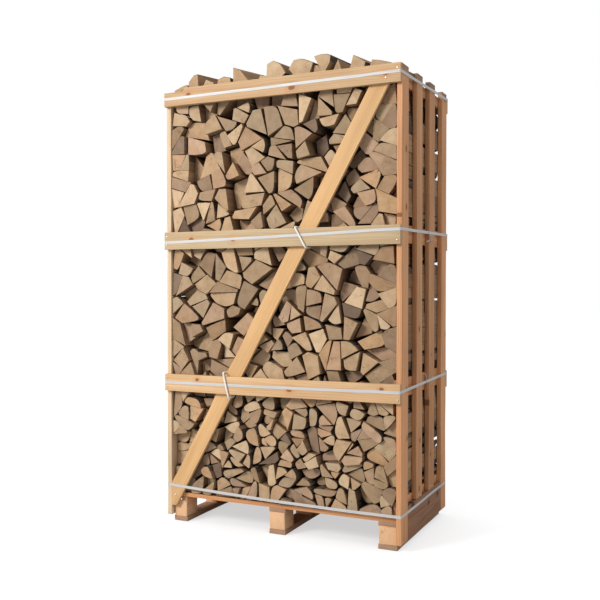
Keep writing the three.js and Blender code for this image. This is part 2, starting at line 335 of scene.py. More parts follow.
# rings round the heart and dark drying cracks on a sawn end; Place has its X and Z from the heart
def makeSawnEnd():
    tree, given, out = startGroup(
        "sawnEnd",
        [
            ("Place", "NodeSocketVector", None),
            ("Ring Width", "NodeSocketFloat", 0.004),
            ("Seed", "NodeSocketFloat", 0.0),
        ],
        [
            ("Rings", "NodeSocketFloat"),
            ("Cracks", "NodeSocketFloat"),
            ("Saw Marks", "NodeSocketFloat"),
            ("Blotch", "NodeSocketFloat"),
        ],
    )
    place, seed = given["Place"], given["Seed"]
    parts = addNode(tree, "ShaderNodeSeparateXYZ", {0: place})
    flat = addNode(
        tree, "ShaderNodeCombineXYZ", {0: parts.outputs[0], 1: 0.0, 2: parts.outputs[2]}
    ).outputs[0]
    radius = vecCalc(tree, "LENGTH", flat, out=1)
    bend = noiseAt(tree, flat, (14.0, 14.0, 14.0), detail=2.0, seed=seed)
    bent = calc(tree, "ADD", radius, calc(tree, "MULTIPLY", bend, 0.012))
    turns = calc(tree, "DIVIDE", calc(tree, "MULTIPLY", bent, math.tau), given["Ring Width"])
    rings = calc(tree, "POWER", spread(tree, calc(tree, "SINE", turns), -1, 1), 1.6)
    years = noiseAt(
        tree, addNode(tree, "ShaderNodeCombineXYZ", {0: bent}).outputs[0], (90.0, 0.0, 0.0), seed=seed
    )
    tree.links.new(calc(tree, "MULTIPLY", rings, spread(tree, years, 0.3, 0.7, 0.35, 1.0)), out["Rings"])
    angle = calc(tree, "ARCTAN2", parts.outputs[2], parts.outputs[0])
    spoke = addNode(
        tree, "ShaderNodeCombineXYZ", {0: calc(tree, "MULTIPLY", angle, 4.5), 1: radius}
    ).outputs[0]
    spoke = noiseAt(tree, spoke, (1.0, 22.0, 1.0), detail=1.5, seed=seed)
    line = calc(tree, "ABSOLUTE", calc(tree, "SUBTRACT", spoke, 0.5))
    line = spread(tree, line, 0.012, 0.0)
    patch = noiseAt(tree, flat, (17.0, 17.0, 17.0), detail=1.0, seed=calc(tree, "ADD", seed, 7.0))
    tree.links.new(calc(tree, "MULTIPLY", line, spread(tree, patch, 0.5, 0.62)), out["Cracks"])
    saw = noiseAt(tree, flat, (60.0, 1.0, 520.0), detail=2.0, seed=seed)
    tree.links.new(saw, out["Saw Marks"])
    blotch = noiseAt(tree, flat, (26.0, 26.0, 26.0), detail=3.0, seed=seed)
    tree.links.new(spread(tree, blotch, 0.32, 0.68), out["Blotch"])
    return tree


woodFigure, knotField, sawnEnd = makeWoodFigure(), makeKnots(), makeSawnEnd()
print("shader groups ready")


# ---------- materials ----------

def useGroup(tree, group, **values):
    node = tree.nodes.new("ShaderNodeGroup")
    node.node_tree = group
    for label, value in values.items():
        socket = node.inputs[label.replace("_", " ")]
        if isinstance(value, bpy.types.NodeSocket):
            tree.links.new(value, socket)
        else:
            socket.default_value = value
    return node.outputs


def reads(tree, name):
    node = addNode(tree, "ShaderNodeAttribute", attribute_name=name)
    return node


def startMaterial(name, roughness, specular=0.35):
    material = bpy.data.materials.new(name)
    material.use_nodes = True
    tree = material.node_tree
    shader = tree.nodes["Principled BSDF"]
    shader.inputs["Roughness"].default_value = roughness
    shader.inputs["Specular IOR Level"].default_value = specular
    return material, tree, shader.inputs


def bumpFrom(tree, shader, height, strength, distance):
    bump = addNode(tree, "ShaderNodeBump", {"Height": height, "Strength": strength, "Distance": distance})
    tree.links.new(bump.outputs[0], shader["Normal"])


pineLook = {
    "pale": (0.60, 0.415, 0.235, 1),
    "deep": (0.48, 0.275, 0.125, 1),
    "ring": (0.40, 0.205, 0.08, 1),
    "knot": (0.20, 0.075, 0.03, 1),
    "halo": (0.52, 0.22, 0.07, 1),
    "ringWidth": 0.007,
    "ringShow": 0.35,
    "knotShare": 0.42,
    "toneSwing": (0.86, 1.10),
    "roughness": 0.62,
    "tipShare": (0.70, 0.70, 0.72),  # end grain against the pale wood
}
honeyLook = dict(pineLook, pale=(0.63, 0.40, 0.19, 1), deep=(0.51, 0.28, 0.11, 1), knotShare=0.25)
dullLook = dict(
    pineLook, pale=(0.50, 0.395, 0.245, 1), deep=(0.40, 0.265, 0.135, 1), ring=(0.34, 0.21, 0.10, 1)
)
deckLook = dict(pineLook, pale=(0.66, 0.33, 0.145, 1), deep=(0.48, 0.20, 0.075, 1))
sideLook = dict(
    pineLook,
    pale=(0.68, 0.355, 0.17, 1),
    deep=(0.48, 0.215, 0.09, 1),
    ring=(0.36, 0.15, 0.06, 1),
    knotShare=0.5,
    toneSwing=(0.80, 1.08),
    tipShare=(0.46, 0.56, 0.70),
    headColour=(0.15, 0.105, 0.08, 1),  # the tops of the uprights have weathered
)
bleachedLook = dict(
    pineLook,
    pale=(0.67, 0.52, 0.355, 1),
    deep=(0.56, 0.38, 0.22, 1),
    ring=(0.50, 0.33, 0.19, 1),
    ringShow=0.2,
    knotShare=0.2,
)
oldLook = dict(
    pineLook,
    pale=(0.40, 0.20, 0.105, 1),
    deep=(0.24, 0.11, 0.055, 1),
    ring=(0.15, 0.065, 0.032, 1),
    halo=(0.12, 0.05, 0.025, 1),
    knot=(0.045, 0.02, 0.012, 1),
    knotShare=0.7,
    toneSwing=(0.85, 1.1),
    roughness=0.72,
)
blockLook = dict(
    pineLook,
    pale=(0.80, 0.49, 0.28, 1),
    deep=(0.56, 0.33, 0.175, 1),
    knotShare=0.15,
    toneSwing=(0.82, 1.05),
    roughness=0.75,
    tipShare=(0.96, 0.96, 0.96),
)
skidLook = dict(
    blockLook,
    pale=(0.42, 0.25, 0.155, 1),
    deep=(0.27, 0.155, 0.09, 1),
    ring=(0.20, 0.11, 0.06, 1),
)


def makeSawnWood(name, look):
    material, tree, shader = startMaterial(name, look["roughness"])
    place = reads(tree, "place").outputs["Vector"]
    tone = reads(tree, "tone").outputs["Fac"]
    worn = reads(tree, "worn").outputs["Fac"]
    seed = calc(tree, "MULTIPLY", tone, 37.0)
    knot = useGroup(tree, knotField, Place=place, Seed=seed, Share=look["knotShare"])
    figure = useGroup(
        tree, woodFigure, Place=place, Ring_Width=look["ringWidth"], Wander=0.03, Seed=seed, Pull=knot["Pull"]
    )
    colour = mixColour(tree, figure["Streak"], look["pale"], look["deep"])
    colour = mixColour(tree, calc(tree, "MULTIPLY", figure["Rings"], look["ringShow"]), colour, look["ring"])
    colour = mixColour(tree, calc(tree, "MULTIPLY", knot["Halo"], 0.55), colour, look["halo"])
    colour = mixColour(tree, calc(tree, "MULTIPLY", knot["Core"], 0.92), colour, look["knot"])
    mottle = noiseAt(tree, place, (3.0, 14.0, 14.0), detail=3.0, seed=seed)
    low, high = look["toneSwing"]
    level = calc(
        tree, "MULTIPLY", spread(tree, tone, 0, 1, low, high), spread(tree, mottle, 0.3, 0.7, 0.9, 1.08)
    )
    level = calc(tree, "MULTIPLY", level, spread(tree, worn, 0, 1, 1.0, 1.12))
    if "headColour" in look:
        rough = noiseAt(tree, place, (60.0, 130.0, 130.0), detail=4.0, rough=0.7, seed=seed)
        head = calc(
            tree, "MULTIPLY", reads(tree, "head").outputs["Fac"], spread(tree, rough, 0.3, 0.6, 0.35, 1.0)
        )
        colour = mixColour(tree, head, colour, look["headColour"])
    grey = addNode(tree, "ShaderNodeCombineColor", {0: level, 1: level, 2: level}).outputs[0]
    colour = mixColour(tree, 1.0, colour, grey, "MULTIPLY")
    tree.links.new(colour, shader["Base Color"])
    matte = spread(tree, figure["Fibre"], 0.3, 0.7, look["roughness"] - 0.08, look["roughness"] + 0.12)
    tree.links.new(matte, shader["Roughness"])
    height = calc(tree, "ADD", figure["Fibre"], calc(tree, "MULTIPLY", figure["Rings"], 0.25))
    bumpFrom(tree, shader, height, 0.35, 0.0012)
    return material


def makeSawnTip(name, look):
    material, tree, shader = startMaterial(name, 0.8)
    place = reads(tree, "place").outputs["Vector"]
    tone = reads(tree, "tone").outputs["Fac"]
    seed = calc(tree, "MULTIPLY", tone, 53.0)
    parts = addNode(tree, "ShaderNodeSeparateXYZ", {0: place})
    turned = addNode(
        tree,
        "ShaderNodeCombineXYZ",
        {
            0: calc(tree, "ADD", parts.outputs[1], 0.012), 1: 0.0,
            2: calc(tree, "ADD", parts.outputs[2], 0.045)
        },
    ).outputs[0]
    end = useGroup(tree, sawnEnd, Place=turned, Ring_Width=0.005, Seed=seed)
    dull = tuple(value * share for value, share in zip(look["pale"], look["tipShare"])) + (1,)
    colour = mixColour(tree, calc(tree, "MULTIPLY", end["Rings"], 0.5), dull, look["ring"])
    colour = mixColour(tree, calc(tree, "MULTIPLY", end["Blotch"], 0.4), colour, look["deep"])
    colour = mixColour(tree, end["Cracks"], colour, look["knot"])
    tree.links.new(colour, shader["Base Color"])
    bumpFrom(tree, shader, end["Saw Marks"], 0.5, 0.0012)
    return material


logLook = {
    "ends": [
        (0.00, (0.44, 0.305, 0.185, 1)),
        (0.22, (0.40, 0.27, 0.16, 1)),
        (0.42, (0.51, 0.38, 0.245, 1)),
        (0.58, (0.36, 0.245, 0.155, 1)),
        (0.74, (0.42, 0.28, 0.19, 1)),
        (0.86, (0.43, 0.27, 0.145, 1)),
        (0.94, (0.29, 0.20, 0.14, 1)),
        (1.00, (0.16, 0.11, 0.08, 1)),
    ],
    # split faces: the wood's own brown, set darker as painted shade for the faces deep between the logs
    "split": [
        (0.00, (0.36, 0.235, 0.145, 1)),
        (0.50, (0.29, 0.18, 0.105, 1)),
        (0.85, (0.31, 0.175, 0.09, 1)),
        (1.00, (0.13, 0.09, 0.07, 1)),
    ],
    "ringColour": (0.36, 0.22, 0.11, 1),
    "crackColour": (0.09, 0.055, 0.035, 1),
    "barkPale": (0.33, 0.25, 0.185, 1),
    "barkDeep": (0.12, 0.086, 0.062, 1),
    "levelSwing": (0.68, 1.24),
}


def rampFrom(tree, value, stops, step=False):
    node = addNode(tree, "ShaderNodeValToRGB", {0: value})
    ramp = node.color_ramp
    ramp.interpolation = "CONSTANT" if step else "LINEAR"
    while len(ramp.elements) < len(stops):
        ramp.elements.new(0.5)
    for element, (at, colour) in zip(ramp.elements, stops):
        element.position = at
        element.color = colour
    return node.outputs[0]


def makeLogEnd():
    material, tree, shader = startMaterial("logEnd", 0.82, 0.25)
    place = reads(tree, "place").outputs["Vector"]
    tone = reads(tree, "tone").outputs["Fac"]
    level = reads(tree, "level").outputs["Fac"]
    seed = calc(tree, "MULTIPLY", tone, 91.0)
    end = useGroup(tree, sawnEnd, Place=place, Ring_Width=0.0042, Seed=seed)
    base = rampFrom(tree, tone, logLook["ends"])
    colour = mixColour(tree, calc(tree, "MULTIPLY", end["Rings"], 0.30), base, logLook["ringColour"])
    darker = mixColour(tree, 1.0, colour, (0.80, 0.76, 0.70, 1), "MULTIPLY")
    colour = mixColour(tree, end["Blotch"], colour, darker)
    colour = mixColour(tree, calc(tree, "MULTIPLY", end["Cracks"], 0.85), colour, logLook["crackColour"])
    low, high = logLook["levelSwing"]
    gain = spread(tree, level, 0, 1, low, high)
    grey = addNode(tree, "ShaderNodeCombineColor", {0: gain, 1: gain, 2: gain}).outputs[0]
    tree.links.new(mixColour(tree, 1.0, colour, grey, "MULTIPLY"), shader["Base Color"])
    height = calc(tree, "SUBTRACT", end["Saw Marks"], calc(tree, "MULTIPLY", end["Cracks"], 2.0))
    bumpFrom(tree, shader, height, 0.5, 0.0012)
    return material


def makeSplitFace():
    material, tree, shader = startMaterial("splitFace", 0.8, 0.25)
    place = reads(tree, "place").outputs["Vector"]
    tone = reads(tree, "tone").outputs["Fac"]
    level = reads(tree, "level").outputs["Fac"]
    seed = calc(tree, "MULTIPLY", tone, 67.0)
    parts = addNode(tree, "ShaderNodeSeparateXYZ", {0: place})
    along = addNode(
        tree, "ShaderNodeCombineXYZ", {0: parts.outputs[1], 1: parts.outputs[0], 2: parts.outputs[2]}
    ).outputs[0]
    figure = useGroup(tree, woodFigure, Place=along, Ring_Width=0.009, Wander=0.02, Seed=seed)
    strands = noiseAt(tree, along, (3.5, 95.0, 95.0), detail=4.0, rough=0.65, seed=seed)
    colour = rampFrom(tree, tone, logLook["split"])
    darker = mixColour(tree, 1.0, colour, (0.62, 0.54, 0.46, 1), "MULTIPLY")
    colour = mixColour(tree, spread(tree, strands, 0.35, 0.7), colour, darker)
    colour = mixColour(tree, calc(tree, "MULTIPLY", figure["Streak"], 0.35), colour, logLook["ringColour"])
    low, high = logLook["levelSwing"]
    gain = spread(tree, level, 0, 1, low, high)
    grey = addNode(tree, "ShaderNodeCombineColor", {0: gain, 1: gain, 2: gain}).outputs[0]
    tree.links.new(mixColour(tree, 1.0, colour, grey, "MULTIPLY"), shader["Base Color"])
    bumpFrom(
        tree, shader, calc(tree, "ADD", strands, calc(tree, "MULTIPLY", figure["Fibre"], 0.4)), 0.8, 0.003
    )
    return material


def makeBark():
    material, tree, shader = startMaterial("bark", 0.92, 0.2)
    place = reads(tree, "place").outputs["Vector"]
    tone = reads(tree, "tone").outputs["Fac"]
    seed = calc(tree, "MULTIPLY", tone, 29.0)
    warp = noiseAt(tree, place, (30.0, 12.0, 30.0), detail=2.0, seed=seed)
    moved = vecCalc(
        tree, "ADD", place,
        vecCalc(
            tree, "SCALE", addNode(tree, "ShaderNodeCombineXYZ", {0: warp, 1: warp, 2: warp}).outputs[0]
        )
    )
    stretched = vecCalc(tree, "MULTIPLY", moved, (95.0, 34.0, 95.0))
    plates = addNode(
        tree, "ShaderNodeTexVoronoi", {"Vector": stretched, "Scale": 1.0}, feature="DISTANCE_TO_EDGE"
    ).outputs["Distance"]
    ridge = spread(tree, plates, 0.02, 0.28, smooth=True)
    crumb = noiseAt(tree, place, (160.0, 90.0, 160.0), detail=4.0, seed=seed)
    shade = calc(tree, "MULTIPLY", ridge, spread(tree, crumb, 0.3, 0.7, 0.45, 1.0))
    colour = mixColour(tree, shade, logLook["barkDeep"], logLook["barkPale"])
    lichen = noiseAt(tree, place, (16.0, 9.0, 16.0), detail=3.0, seed=seed)
    colour = mixColour(tree, spread(tree, lichen, 0.58, 0.75, 0.0, 0.35), colour, (0.30, 0.29, 0.24, 1))
    tree.links.new(colour, shader["Base Color"])
    bumpFrom(tree, shader, calc(tree, "ADD", ridge, calc(tree, "MULTIPLY", crumb, 0.5)), 0.9, 0.004)
    return material


def makeStrapping():
    material, tree, shader = startMaterial("strappingPlastic", 0.38, 0.5)
    place = reads(tree, "place").outputs["Vector"]
    weave = addNode(
        tree, "ShaderNodeTexChecker",
        {"Vector": place, "Scale": 520.0, "Color1": (1, 1, 1, 1), "Color2": (0, 0, 0, 1)}
    ).outputs["Fac"]
    scuff = noiseAt(tree, place, (9.0, 180.0, 180.0), detail=4.0)
    colour = mixColour(tree, spread(tree, scuff, 0.4, 0.75), (0.53, 0.518, 0.51, 1), (0.43, 0.415, 0.40, 1))
    tree.links.new(colour, shader["Base Color"])
    tree.links.new(spread(tree, scuff, 0.3, 0.7, 0.42, 0.6), shader["Roughness"])
    bumpFrom(tree, shader, calc(tree, "ADD", weave, scuff), 0.25, 0.0003)
    return material


def makeTwine():
    material, tree, shader = startMaterial("whiteTwine", 0.75, 0.3)
    place = reads(tree, "place").outputs["Vector"]
    fuzz = noiseAt(tree, place, (900.0, 900.0, 900.0), detail=2.0)
    colour = mixColour(tree, fuzz, (0.86, 0.85, 0.82, 1), (0.66, 0.63, 0.57, 1))
    tree.links.new(colour, shader["Base Color"])
    bumpFrom(tree, shader, fuzz, 0.5, 0.0006)
    return material


def makeNailMetal():
    material, tree, shader = startMaterial("nailSteel", 0.42, 0.5)
    shader["Metallic"].default_value = 0.85
    place = reads(tree, "place").outputs["Vector"]
    scratch = noiseAt(tree, place, (300.0, 300.0, 300.0), detail=3.0)
    colour = mixColour(tree, spread(tree, scratch, 0.4, 0.7), (0.80, 0.74, 0.64, 1), (0.45, 0.37, 0.28, 1))
    tree.links.new(colour, shader["Base Color"])
    tree.links.new(spread(tree, scratch, 0.3, 0.7, 0.3, 0.6), shader["Roughness"])
    bumpFrom(tree, shader, scratch, 0.3, 0.0004)
    return material


woods = {
    "pine_board": (makeSawnWood("pineBoards", pineLook), makeSawnTip("pineBoardTips", pineLook)),
    "pine_side_board": (makeSawnWood("sidePine", sideLook), makeSawnTip("sidePineTips", sideLook)),
    "weathered_board": (makeSawnWood("darkBoards", oldLook), makeSawnTip("darkBoardTips", oldLook)),
    "pallet_block": (makeSawnWood("blockWood", blockLook), makeSawnTip("blockTips", blockLook)),
}
bleachedWood = (makeSawnWood("bleachedPine", bleachedLook), makeSawnTip("bleachedPineTips", bleachedLook))
honeyWood = (makeSawnWood("honeyPine", honeyLook), makeSawnTip("honeyPineTips", honeyLook))
dullWood = (makeSawnWood("dullPine", dullLook), makeSawnTip("dullPineTips", dullLook))
deckWood = (makeSawnWood("deckPine", deckLook), makeSawnTip("deckPineTips", deckLook))
skidWood = (makeSawnWood("skidWood", skidLook), makeSawnTip("skidTips", skidLook))


def woodOf(nodeName):
    if nodeName == "left_corner_post_front":
        return bleachedWood
    if "brace" in nodeName:
        return honeyWood
    if nodeName.endswith("t_rail_upper"):
        return dullWood
    if "deck" in nodeName:
        return deckWood
    if "bearer" in nodeName:
        return deckWood[0], skidWood[1]
    if "skid" in nodeName:
        return skidWood
    return woods[slotOfNode[nodeName]]


logMaterials = [makeLogEnd(), makeSplitFace(), makeBark()]
strapping, twine, nailSteel = makeStrapping(), makeTwine(), makeNailMetal()
print("materials ready")


# ---------- mesh helpers ----------

def setAttribute(mesh, name, kind, domain, values):
    attribute = mesh.attributes.new(name, kind, domain)
    field = "vector" if kind == "FLOAT_VECTOR" else "value"
    attribute.data.foreach_set(field, np.asarray(values, dtype=np.float32).ravel())


def showPiece(name, mesh, nodes=()):
    piece = bpy.data.objects.new(name, mesh)
    scene.collection.objects.link(piece)
    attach(piece, "root")
    if nodes:
        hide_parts(*nodes)
    return piece


# ---------- sawn boards ----------

boards = {
    "step": 0.055,          # length of one stretch of board
    "edgeRound": 0.0016,
    "waver": 0.0011,        # how far a sawn face wanders
    "wane": 0.0042,         # how deep the uneven edges go in places
    "grainAlongY": ("pallet_block",),
    "headFrom": 1.974,      # height where the uprights start to look weathered
    "tones": {  # 0 dark, 1 pale; any other board takes its own
        "front_rail_top": 0.12,
        "front_rail_upper": 0.66,
        "front_rail_lower": 0.93,
        "right_corner_post_front": 0.72,
    },
}


def boardAxes(points, nodeName):
    size = points.max(axis=0) - points.min(axis=0)
    if "brace" in nodeName:
        lean = 0.561
        side = 1 if nodeName.startswith("front") else -1
        along = np.array([side * lean, 0, 1.0]) / math.hypot(lean, 1)
        through = np.array([0, 1.0, 0])
    elif nodeName.startswith(boards["grainAlongY"]):
        along, through = np.array([0, 1.0, 0]), np.array([0, 0, 1.0])
    else:
        order = np.argsort(size)
        along, through = np.eye(3)[order[2]], np.eye(3)[order[0]]
    across = np.cross(through, along)
    return np.array([along, across, through])


def buildBoard(nodeName):
    source = frame["nodes"][nodeName].data
    seed = sum(ord(letter) * (index + 3) for index, letter in enumerate(nodeName))
    rng = random.Random(seed)
    bm = bmesh.new()
    bm.from_mesh(source)
    bmesh.ops.remove_doubles(bm, verts=bm.verts, dist=1e-5)
    bmesh.ops.dissolve_limit(bm, angle_limit=0.01, verts=bm.verts, edges=bm.edges)
    points = np.array([v.co[:] for v in bm.verts])
    axes = boardAxes(points, nodeName)
    centre = (points.max(axis=0) + points.min(axis=0)) / 2
    local = (points - centre) @ axes.T
    low, high = local.min(axis=0), local.max(axis=0)
    hard = [e for e in bm.edges if len(e.link_faces) == 2 and e.calc_face_angle(0) > 0.5]
    bmesh.ops.bevel(bm, geom=hard, offset=boards["edgeRound"], segments=2, profile=0.6, affect="EDGES")
    for axis, step in ((0, boards["step"]), (1, 0.027)):
        span = high[axis] - low[axis]
        count = max(1, round(span / step))
        for index in range(1, count):
            at = low[axis] + span * (index + rng.uniform(-0.2, 0.2)) / count
            bmesh.ops.bisect_plane(
                bm,
                geom=bm.verts[:] + bm.edges[:] + bm.faces[:],
                plane_co=Vector(centre + axes[axis] * at),
                plane_no=Vector(axes[axis]),
            )
    bm.verts.ensure_lookup_table()
    points = np.array([v.co[:] for v in bm.verts])
    local = (points - centre) @ axes.T
    moved = local.copy()
    half = (high - low) / 2
    for index, (u, v, w) in enumerate(local):
        at = Vector((u * 3.1 + seed, v * 20 + seed * 0.37, w * 20))
        moved[index, 1] += noise.noise(at) * boards["waver"]
        moved[index, 2] += noise.noise(at + Vector((9.7, 0, 0))) * boards["waver"] * 0.7
        edge = 1 - min(1.0, (half[1] - abs(v)) / 0.008)
        if edge > 0:  # the long edges wander inwards
            side = 1 if v > 0 else -1
            bite = noise.noise(Vector((u * 4.3 + side * 31 + seed, seed * 0.11, w * 40)))
            moved[index, 1] -= side * edge * max(0, bite) * boards["wane"]
    back = moved @ axes + centre
    for vertex, co in zip(bm.verts, back):
        vertex.co = co
    worn = []
    for face in bm.faces:
        normal = axes @ np.array(face.normal)
        face.smooth = True
        face.material_index = 1 if abs(normal[0]) > 0.8 else 0
        flat = max(abs(normal))
        worn.append(1.0 if flat < 0.985 else 0.0)
    for edge in bm.edges:
        edge.smooth = len(edge.link_faces) == 2 and edge.calc_face_angle(0) < 0.6
    mesh = bpy.data.meshes.new(nodeName + "_board")
    bm.to_mesh(mesh)
    bm.free()
    count = len(mesh.vertices)
    heights = np.array([v.co.z for v in mesh.vertices])
    place = local.copy()
    place[:, 0] += rng.uniform(0, 40)
    setAttribute(mesh, "place", "FLOAT_VECTOR", "POINT", place)
    setAttribute(mesh, "tone", "FLOAT", "POINT", np.full(count, boards["tones"].get(nodeName, rng.random())))
    setAttribute(mesh, "worn", "FLOAT", "FACE", worn)
    upright = "post" in nodeName or "slat" in nodeName
    setAttribute(
        mesh, "head", "FLOAT", "POINT", upright * np.clip((heights - boards["headFrom"]) / 0.035, 0, 1)
    )
    for material in woodOf(nodeName):
        mesh.materials.append(material)
    return showPiece(nodeName + "_sawn", mesh, (nodeName,))


boardNodes = [name for name in frame["nodes"] if slotOfNode[name] in woods]
for name in boardNodes:
    buildBoard(name)
print("boards ready,", len(boardNodes))


# ---------- nail heads ----------

nails = {"radius": 0.0036, "height": 0.0009, "seed": 5}


def nailSpots():
    rng = random.Random(nails["seed"])
    spots = []  # point on the face, and the face's outward direction

    def add(x, y, z, normal):
        spots.append(
            (Vector((x + rng.uniform(-0.003, 0.003), y + rng.uniform(-0.003, 0.003), z)), Vector(normal))
        )

    for face, out in (("front", -1), ("back", 1)):
        for rail in ("top", "upper", "lower"):
            low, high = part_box(f"{face}_rail_{rail}")
            middle = (low[2] + high[2]) / 2
            y = low[1] if out < 0 else high[1]
            for side in (-1, 1):
                x = side * (high[0] - 0.011)
                for drop in (-0.021, 0.019):
                    add(x, y, middle + drop, (0, out, 0))
            if rail == "top":
                add(-out * (high[0] - 0.042), y, middle + 0.013, (0, out, 0))
                add(-out * (high[0] - 0.066), y, middle - 0.017, (0, out, 0))
        low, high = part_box(f"{face}_brace")
        y = low[1] if out < 0 else high[1]
        add(out * (high[0] - 0.022), y, 0.126, (0, out, 0))
        add(out * (high[0] - 0.05), y, 0.108, (0, out, 0))
    for side, out in (("right", 1), ("left", -1)):
        for upright in ("corner_post_front", "slat_front", "slat_rear", "corner_post_rear"):
            low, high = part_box(f"{side}_{upright}")
            x = high[0] if out > 0 else low[0]
            for rail in ("base", "lower", "upper", "top"):
                railLow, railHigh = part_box(f"{side}_side_rail_{rail}")
                top = min(railHigh[2], high[2])
                middle = (railLow[2] + top) / 2
                centre = (low[1] + high[1]) / 2
                for shift in (-1, 1):
                    splay = (high[1] - low[1]) * 0.2
                    add(x, centre + shift * splay, max(low[2] + 0.015, middle + shift * 0.014), (out, 0, 0))
    return spots


def buildNails():
    bm = bmesh.new()
    for at, normal in nailSpots():
        turn = normal.to_track_quat("Z", "Y").to_matrix().to_4x4()
        ring = []
        count = 12
        for radius, height in ((1.0, -0.002), (1.0, 0.35), (0.72, 1.0)):
            lift = -0.002 if height < 0 else height * nails["height"]
            ring.append(
                [
                    bm.verts.new(
                        Matrix.Translation(at)
                        @ turn
                        @ Vector(
                            (
                                math.cos(math.tau * i / count) * nails["radius"] * radius,
                                math.sin(math.tau * i / count) * nails["radius"] * radius,
                                lift,
                            )
                        )
                    )
                    for i in range(count)
                ]
            )
        for lower, upper in zip(ring, ring[1:]):
            for i in range(count):
                j = (i + 1) % count
                bm.faces.new((lower[i], lower[j], upper[j], upper[i]))
        bm.faces.new(ring[-1])
        bm.faces.new(ring[0][::-1])
    mesh = bpy.data.meshes.new("nailHeads")
    bm.to_mesh(mesh)
    bm.free()
    setAttribute(mesh, "place", "FLOAT_VECTOR", "POINT", [v.co[:] for v in mesh.vertices])
    mesh.materials.append(nailSteel)
    showPiece("nailHeads", mesh)


buildNails()
print("nails ready")


# ---------- straps and ties ----------

straps = {
    "width": 0.0128,
    "thickness": 0.0009,
    "cornerRadius": 0.006,
    "step": 0.045,
    "waver": 0.0011,
    "sag": {"strap_bottom": 0.008},  # at the middle of the front and the back
    "tails": {  # the loose end left at the seal, as metres out, along Y and up from there
        "strap_upper": [
            (0, 0.028, 0.008), (0.003, 0.043, 0.0), (0.005, 0.054, -0.018), (0.004, 0.040, -0.034),
            (0.002, 0, -0.041)
        ],
        "strap_lower": [(0, 0.006, 0), (0.003, 0, 0.014), (0.004, -0.010, 0.030), (0.002, -0.026, 0.042)],
    },
    "tailWidth": 0.0036,
}


def loopPath(corners, radius, step, steps=5):
    path = []
    count = len(corners)
    for index in range(count):
        before, here, after = corners[index - 1], corners[index], corners[(index + 1) % count]
        into, away = (here - before).normalized(), (after - here).normalized()
        first, last = here - into * radius, here + away * radius
        for part in range(steps + 1):
            t = part / steps
            path.append(first * (1 - t) ** 2 + here * 2 * t * (1 - t) + last * t * t)
        goal = after - away * radius
        run = (goal - last).length
        stretches = max(1, round(run / step))
        for part in range(1, stretches):
            path.append(last.lerp(goal, part / stretches))
    return path


# sweeps a flat section round a closed path; up is the section's width direction
def sweepBand(path, width, thickness, up):
    count = len(path)
    section = [(-0.5, -0.3), (-0.47, 0.5), (0, 0.62), (0.47, 0.5), (0.5, -0.3), (0, -0.5)]
    points, places, run = [], [], 0.0
    for index, here in enumerate(path):
        before, after = path[index - 1], path[(index + 1) % count]
        along = (after - before).normalized()
        outward = along.cross(up).normalized()
        rise = outward.cross(along).normalized()
        if index:
            run += (here - before).length
        for across, out in section:
            points.append(here + rise * across * width + outward * out * thickness)
            places.append((run, across * width, out * thickness))
    size = len(section)
    faces = []
    for index in range(count):
        nextRing = ((index + 1) % count) * size
        for side in range(size):
            nextSide = (side + 1) % size
            faces.append((index * size + side, nextRing + side, nextRing + nextSide, index * size + nextSide))
    return points, faces, places


def sweepTail(start, shape):
    knots = [start + Vector(offset) for offset in shape]
    path = []
    for index in range(len(knots) - 1):
        before, here = knots[max(index - 1, 0)], knots[index]
        after, last = knots[index + 1], knots[min(index + 2, len(knots) - 1)]
        for part in range(6):
            t = part / 6
            bend = (after - before) * t + (2 * before - 5 * here + 4 * after - last) * t**2
            path.append(here + (bend + (3 * here - before - 3 * after + last) * t**3) / 2)
    path.append(knots[-1])
    points, faces, places = [], [], []
    for index, here in enumerate(path):
        along = (path[min(index + 1, len(path) - 1)] - path[max(index - 1, 0)]).normalized()
        across = along.cross(Vector((1, 0, 0))).normalized() * straps["tailWidth"] / 2
        out = Vector((straps["thickness"] / 2, 0, 0))
        for corner in (-across - out, across - out, across + out, -across + out):
            points.append(here + corner)
            places.append((index * 0.003, corner.y, corner.z))
        if index:
            base = index * 4
            for side in range(4):
                nextSide = (side + 1) % 4
                faces.append((base - 4 + side, base + side, base + nextSide, base - 4 + nextSide))
    faces += [(0, 1, 2, 3), tuple(len(points) - 1 - side for side in range(4))]
    return points, faces, places


def cleanMesh(name, points, faces, smoothAngle=0.7):
    mesh = bpy.data.meshes.new(name)
    mesh.from_pydata([p[:] for p in points], [], faces)
    bm = bmesh.new()
    bm.from_mesh(mesh)
    bmesh.ops.recalc_face_normals(bm, faces=bm.faces)
    for face in bm.faces:
        face.smooth = True
    for edge in bm.edges:
        edge.smooth = len(edge.link_faces) == 2 and edge.calc_face_angle(0) < smoothAngle
    bm.to_mesh(mesh)
    bm.free()
    return mesh


def strapCorners(node):
    points = [v.co.copy() for v in frame["nodes"][node].data.vertices]
    corners = []
    for sx, sy in ((-1, -1), (1, -1), (1, 1), (-1, 1)):
        near = [p for p in points if p.x * sx > 0 and p.y * sy > 0]
        inner = min(abs(p.x) for p in near), min(abs(p.y) for p in near)
        height = (min(p.z for p in near) + max(p.z for p in near)) / 2
        corners.append(Vector((sx * (inner[0] + 0.0005), sy * (inner[1] + 0.0005), height)))
    return corners


